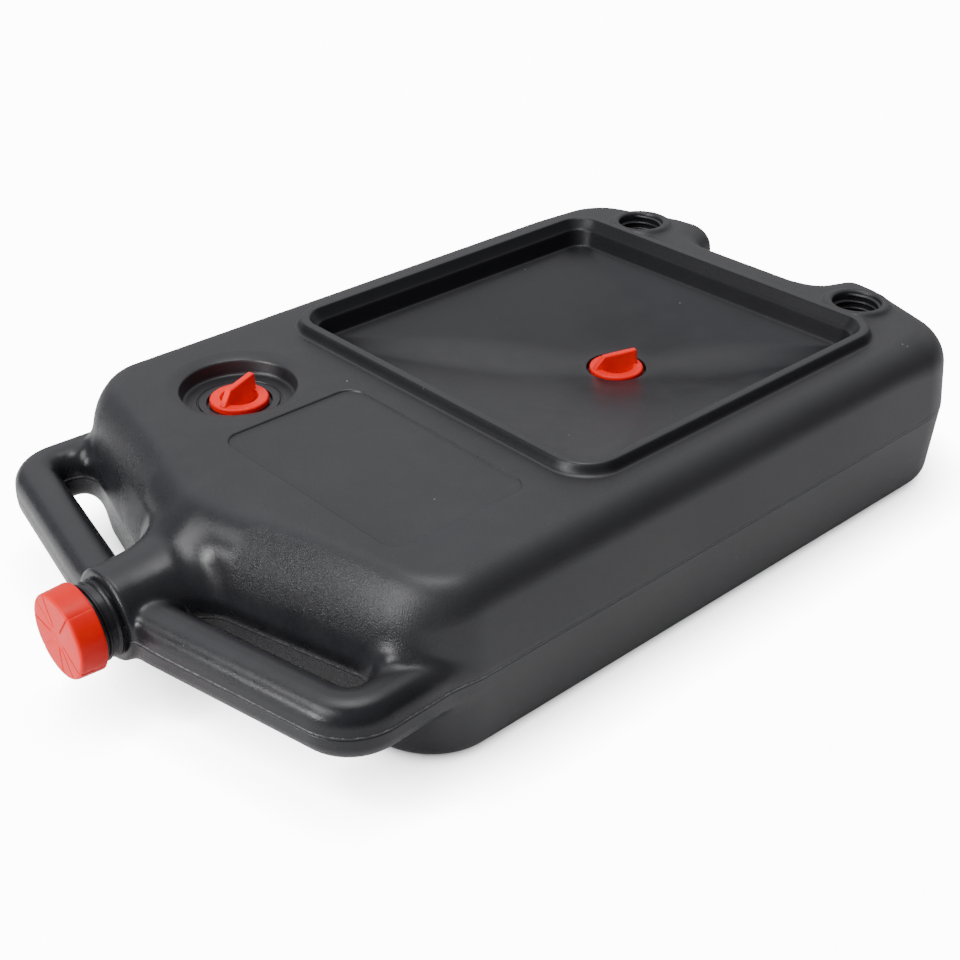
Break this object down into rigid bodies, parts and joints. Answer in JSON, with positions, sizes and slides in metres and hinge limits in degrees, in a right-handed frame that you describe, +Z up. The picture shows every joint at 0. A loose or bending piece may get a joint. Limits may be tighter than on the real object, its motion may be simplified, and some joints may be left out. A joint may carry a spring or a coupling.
{
  "type": "oil drain pan",
  "caption": "Flat portable waste-oil canister with a square catch tray in its deck, screw plugs, a capped spout between two loop handles, and threaded plug parking sockets at the rear.",
  "frame": {"origin": "centre of the footprint on the plane the pan rests on, with the spout cap closed", "axes": "+X from the spout to the rear feet, +Z up, +Y the side with the vent dish"},
  "size_m": [0.6664, 0.384, 0.1285],
  "materials": {
    "canister": "satin black blow-moulded polyethylene with a fine grain",
    "closures": "satin red moulded plastic",
    "liner": "foamed white sealing disc",
    "seals": "smooth black rubber"
  },
  "bodies": {
    "canister": {"canister": "canister"},
    "spout_cap_seat": {"spout_cap_liner": "liner"},
    "spout_cap": {"spout_cap": "closures"},
    "drain_plug_seat": {"drain_plug_seal": "seals"},
    "drain_plug": {"drain_plug": "closures"},
    "vent_plug_seat": {"vent_plug_seal": "seals"},
    "vent_plug": {"vent_plug": "closures"}
  },
  "joints": [
    {"name": "spout_cap_travel", "type": "slide", "parent": "canister", "child": "spout_cap_seat", "axis": [-1, 0, 0], "range_m": [0, 0.0151]},
    {"name": "spout_cap_turn", "type": "hinge", "parent": "spout_cap_seat", "child": "spout_cap", "pos_m": [-0.325, 0, 0.0635], "axis": [-1, 0, 0], "range_deg": [0, 1080]},
    {"name": "drain_plug_lift", "type": "slide", "parent": "canister", "child": "drain_plug_seat", "axis": [0, 0, 1], "range_m": [0, 0.0151]},
    {"name": "drain_plug_turn", "type": "hinge", "parent": "drain_plug_seat", "child": "drain_plug", "pos_m": [0.1373, 0, 0.0727], "axis": [0, 0, 1], "range_deg": [0, 1080]},
    {"name": "vent_plug_lift", "type": "slide", "parent": "canister", "child": "vent_plug_seat", "axis": [0, 0, 1], "range_m": [0, 0.0151]},
    {"name": "vent_plug_turn", "type": "hinge", "parent": "vent_plug_seat", "child": "vent_plug", "pos_m": [-0.1327, 0.0989, 0.1051], "axis": [0, 0, 1], "range_deg": [0, 1080]}
  ],
  "couplings": [
    {"joint": "spout_cap_travel", "follows": "spout_cap_turn", "m_per_rad": 0.00079577},
    {"joint": "drain_plug_lift", "follows": "drain_plug_turn", "m_per_rad": 0.00079577},
    {"joint": "vent_plug_lift", "follows": "vent_plug_turn", "m_per_rad": 0.00079577}
  ]
}
